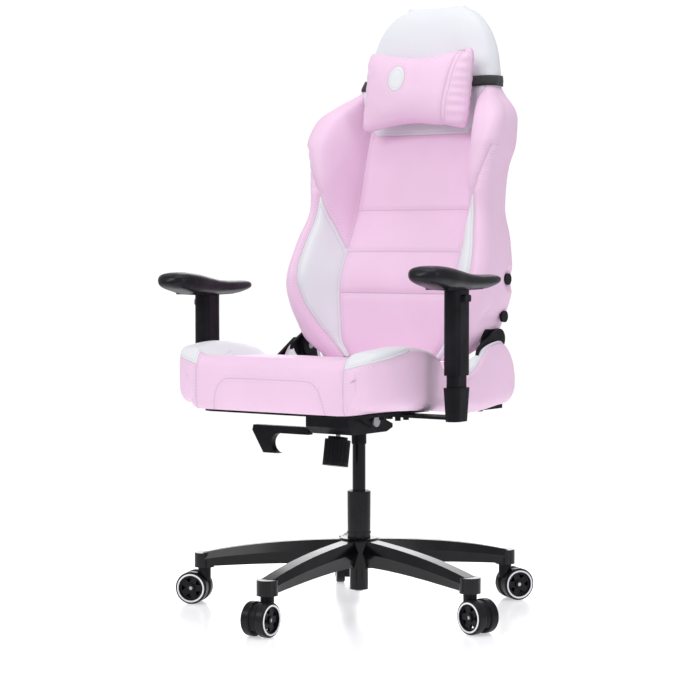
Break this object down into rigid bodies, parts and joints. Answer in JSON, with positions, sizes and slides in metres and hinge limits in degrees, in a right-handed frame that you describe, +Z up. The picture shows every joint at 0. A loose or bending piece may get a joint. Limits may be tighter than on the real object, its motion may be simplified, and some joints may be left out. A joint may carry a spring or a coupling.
{
  "type": "gaming chair",
  "caption": "High-back gaming chair with bucket seat and reclining winged back, neck pillow, height-adjustable armrests, tilt mechanism, gas lift and five-caster base.",
  "frame": {"origin": "point on the floor under the gas lift's axis", "axes": "+Z up along the gas lift, the chair faces -Y, the sitter's left hand is towards +X"},
  "size_m": [0.7901, 0.7649, 1.311],
  "materials": {
    "base_black": "gloss moulded nylon",
    "plastic_black": "satin moulded",
    "pad_black": "satin soft-touch polyurethane",
    "wheel_black": "semi-gloss",
    "lift_black": "black chrome-like gloss enamel",
    "mechanism_black": "powder coat",
    "zinc_steel": "zinc plated",
    "zinc_black": "black oxide",
    "spring_steel": "oiled",
    "pink_hide": "soft grained upholstery hide",
    "white_hide": "soft grained upholstery hide",
    "pink_thread": "sewing thread",
    "white_thread": "sewing thread",
    "strap_webbing": "woven elastic",
    "wheel_trim": "gloss ring"
  },
  "bodies": {
    "base": {"star_base": "base_black", "gas_cylinder": "lift_black", "cylinder_bush": "plastic_black"},
    "lift_rod": {"piston_rod": "zinc_steel"},
    "lift": {"gas_piston": "lift_black", "mechanism_housing": "mechanism_black", "tilt_shaft": "zinc_steel", "tension_bolt": "zinc_steel", "tension_spring": "spring_steel"},
    "valve": {"valve_button": "zinc_steel"},
    "knob": {"tension_knob": "plastic_black"},
    "lever": {"height_lever": "mechanism_black", "lever_grip": "plastic_black"},
    "seat": {"seat_plate": "mechanism_black", "seat_pan": "mechanism_black", "seat_bolts": "zinc_black", "seat_cushion": "pink_hide", "hinge_pins": "zinc_steel", "hinge_lower_left": "mechanism_black", "hinge_cover_left": "plastic_black", "arm_bar_left": "mechanism_black", "arm_post_left": "plastic_black", "hinge_lower_right": "mechanism_black", "hinge_cover_right": "plastic_black", "arm_bar_right": "mechanism_black", "arm_post_right": "plastic_black"},
    "back": {"hinge_upper_left": "mechanism_black", "hinge_upper_right": "mechanism_black", "back_bolts": "plastic_black", "back_frame": "mechanism_black", "back_cushion": "pink_hide", "neck_pillow": "pink_hide", "pillow_strap": "strap_webbing"},
    "recline": {"recline_lever": "plastic_black"},
    "arm_left": {"arm_sleeve_left": "plastic_black", "arm_pad_left": "pad_black"},
    "trigger_left": {"arm_trigger_left": "plastic_black"},
    "arm_right": {"arm_sleeve_right": "plastic_black", "arm_pad_right": "pad_black"},
    "trigger_right": {"arm_trigger_right": "plastic_black"},
    "caster_1": {"caster_1_housing": "plastic_black", "caster_1_pins": "zinc_steel"},
    "wheel_1a": {"caster_1_wheel_a": "wheel_black"},
    "wheel_1b": {"caster_1_wheel_b": "wheel_black"},
    "caster_2": {"caster_2_housing": "plastic_black", "caster_2_pins": "zinc_steel"},
    "wheel_2a": {"caster_2_wheel_a": "wheel_black"},
    "wheel_2b": {"caster_2_wheel_b": "wheel_black"},
    "caster_3": {"caster_3_housing": "plastic_black", "caster_3_pins": "zinc_steel"},
    "wheel_3a": {"caster_3_wheel_a": "wheel_black"},
    "wheel_3b": {"caster_3_wheel_b": "wheel_black"},
    "caster_4": {"caster_4_housing": "plastic_black", "caster_4_pins": "zinc_steel"},
    "wheel_4a": {"caster_4_wheel_a": "wheel_black"},
    "wheel_4b": {"caster_4_wheel_b": "wheel_black"},
    "caster_5": {"caster_5_housing": "plastic_black", "caster_5_pins": "zinc_steel"},
    "wheel_5a": {"caster_5_wheel_a": "wheel_black"},
    "wheel_5b": {"caster_5_wheel_b": "wheel_black"}
  },
  "joints": [
    {"name": "seat_swivel", "type": "hinge", "parent": "base", "child": "lift_rod", "pos_m": [0, 0, 0.043], "axis": [0, 0, 1], "continuous": true},
    {"name": "seat_height", "type": "slide", "parent": "lift_rod", "child": "lift", "axis": [0, 0, 1], "range_m": [-0.085, 0]},
    {"name": "valve_press", "type": "slide", "parent": "lift", "child": "valve", "axis": [0, 0, 1], "range_m": [-0.0028, 0], "stiffness_N_per_m": 300},
    {"name": "tension_turn", "type": "hinge", "parent": "lift", "child": "knob", "pos_m": [0, -0.076, 0.386], "axis": [0, 0.1736, 0.9848], "range_deg": [-720, 720]},
    {"name": "height_lever_lift", "type": "hinge", "parent": "lift", "child": "lever", "pos_m": [-0.0535, -0.062, 0.397], "axis": [0, 1, 0], "range_deg": [0, 3.4], "stiffness_Nm_per_rad": 3},
    {"name": "seat_rock", "type": "hinge", "parent": "lift", "child": "seat", "pos_m": [0, -0.03, 0.412], "axis": [-1, 0, 0], "range_deg": [0, 12]},
    {"name": "back_recline", "type": "hinge", "parent": "seat", "child": "back", "pos_m": [0, 0.14, 0.56], "axis": [-1, 0, 0], "range_deg": [0, 50]},
    {"name": "recline_lever_lift", "type": "hinge", "parent": "seat", "child": "recline", "pos_m": [-0.265, 0.14, 0.56], "axis": [-1, 0, 0], "range_deg": [0, 25], "stiffness_Nm_per_rad": 1.5},
    {"name": "arm_height_left", "type": "slide", "parent": "seat", "child": "arm_left", "axis": [0, 0, 1], "range_m": [-0.0245, 0.055]},
    {"name": "arm_trigger_press_left", "type": "slide", "parent": "arm_left", "child": "trigger_left", "axis": [-1, 0, 0], "range_m": [0, 0.003], "stiffness_N_per_m": 300},
    {"name": "arm_height_right", "type": "slide", "parent": "seat", "child": "arm_right", "axis": [0, 0, 1], "range_m": [-0.0075, 0.072]},
    {"name": "arm_trigger_press_right", "type": "slide", "parent": "arm_right", "child": "trigger_right", "axis": [1, 0, 0], "range_m": [0, 0.003], "stiffness_N_per_m": 300},
    {"name": "caster_1_swivel", "type": "hinge", "parent": "base", "child": "caster_1", "pos_m": [0.18984, 0.29345, 0.09], "axis": [0, 0, 1], "continuous": true},
    {"name": "caster_1_roll_a", "type": "hinge", "parent": "caster_1", "child": "wheel_1a", "pos_m": [0.21688, 0.30394, 0.0353], "axis": [-0.8396, 0.5432, 0], "continuous": true},
    {"name": "caster_1_roll_b", "type": "hinge", "parent": "caster_1", "child": "wheel_1b", "pos_m": [0.18833, 0.32241, 0.0353], "axis": [-0.8396, 0.5432, 0], "continuous": true},
    {"name": "caster_2_swivel", "type": "hinge", "parent": "base", "child": "caster_2", "pos_m": [-0.22042, 0.27123, 0.09], "axis": [0, 0, 1], "continuous": true},
    {"name": "caster_2_roll_a", "type": "hinge", "parent": "caster_2", "child": "wheel_2a", "pos_m": [-0.22205, 0.30019, 0.0353], "axis": [-0.776, -0.6307, 0], "continuous": true},
    {"name": "caster_2_roll_b", "type": "hinge", "parent": "caster_2", "child": "wheel_2b", "pos_m": [-0.24843, 0.27874, 0.0353], "axis": [-0.776, -0.6307, 0], "continuous": true},
    {"name": "caster_3_swivel", "type": "hinge", "parent": "base", "child": "caster_3", "pos_m": [-0.32607, -0.12582, 0.09], "axis": [0, 0, 1], "continuous": true},
    {"name": "caster_3_roll_a", "type": "hinge", "parent": "caster_3", "child": "wheel_3a", "pos_m": [-0.35411, -0.11842, 0.0353], "axis": [0.36, -0.933, 0], "continuous": true},
    {"name": "caster_3_roll_b", "type": "hinge", "parent": "caster_3", "child": "wheel_3b", "pos_m": [-0.34187, -0.15014, 0.0353], "axis": [0.36, -0.933, 0], "continuous": true},
    {"name": "caster_4_swivel", "type": "hinge", "parent": "base", "child": "caster_4", "pos_m": [0.0189, -0.34899, 0.09], "axis": [0, 0, 1], "continuous": true},
    {"name": "caster_4_roll_a", "type": "hinge", "parent": "caster_4", "child": "wheel_4a", "pos_m": [0.0032, -0.37337, 0.0353], "axis": [0.9985, 0.0541, 0], "continuous": true},
    {"name": "caster_4_roll_b", "type": "hinge", "parent": "caster_4", "child": "wheel_4b", "pos_m": [0.03715, -0.37154, 0.0353], "axis": [0.9985, 0.0541, 0], "continuous": true},
    {"name": "caster_5_swivel", "type": "hinge", "parent": "base", "child": "caster_5", "pos_m": [0.33775, -0.08987, 0.09], "axis": [0, 0, 1], "continuous": true},
    {"name": "caster_5_roll_a", "type": "hinge", "parent": "caster_5", "child": "wheel_5a", "pos_m": [0.35609, -0.11234, 0.0353], "axis": [0.2571, 0.9664, 0], "continuous": true},
    {"name": "caster_5_roll_b", "type": "hinge", "parent": "caster_5", "child": "wheel_5b", "pos_m": [0.36483, -0.07948, 0.0353], "axis": [0.2571, 0.9664, 0], "continuous": true}
  ],
  "couplings": [
    {"joint": "valve_press", "follows": "height_lever_lift", "m_per_rad": -0.047}
  ]
}
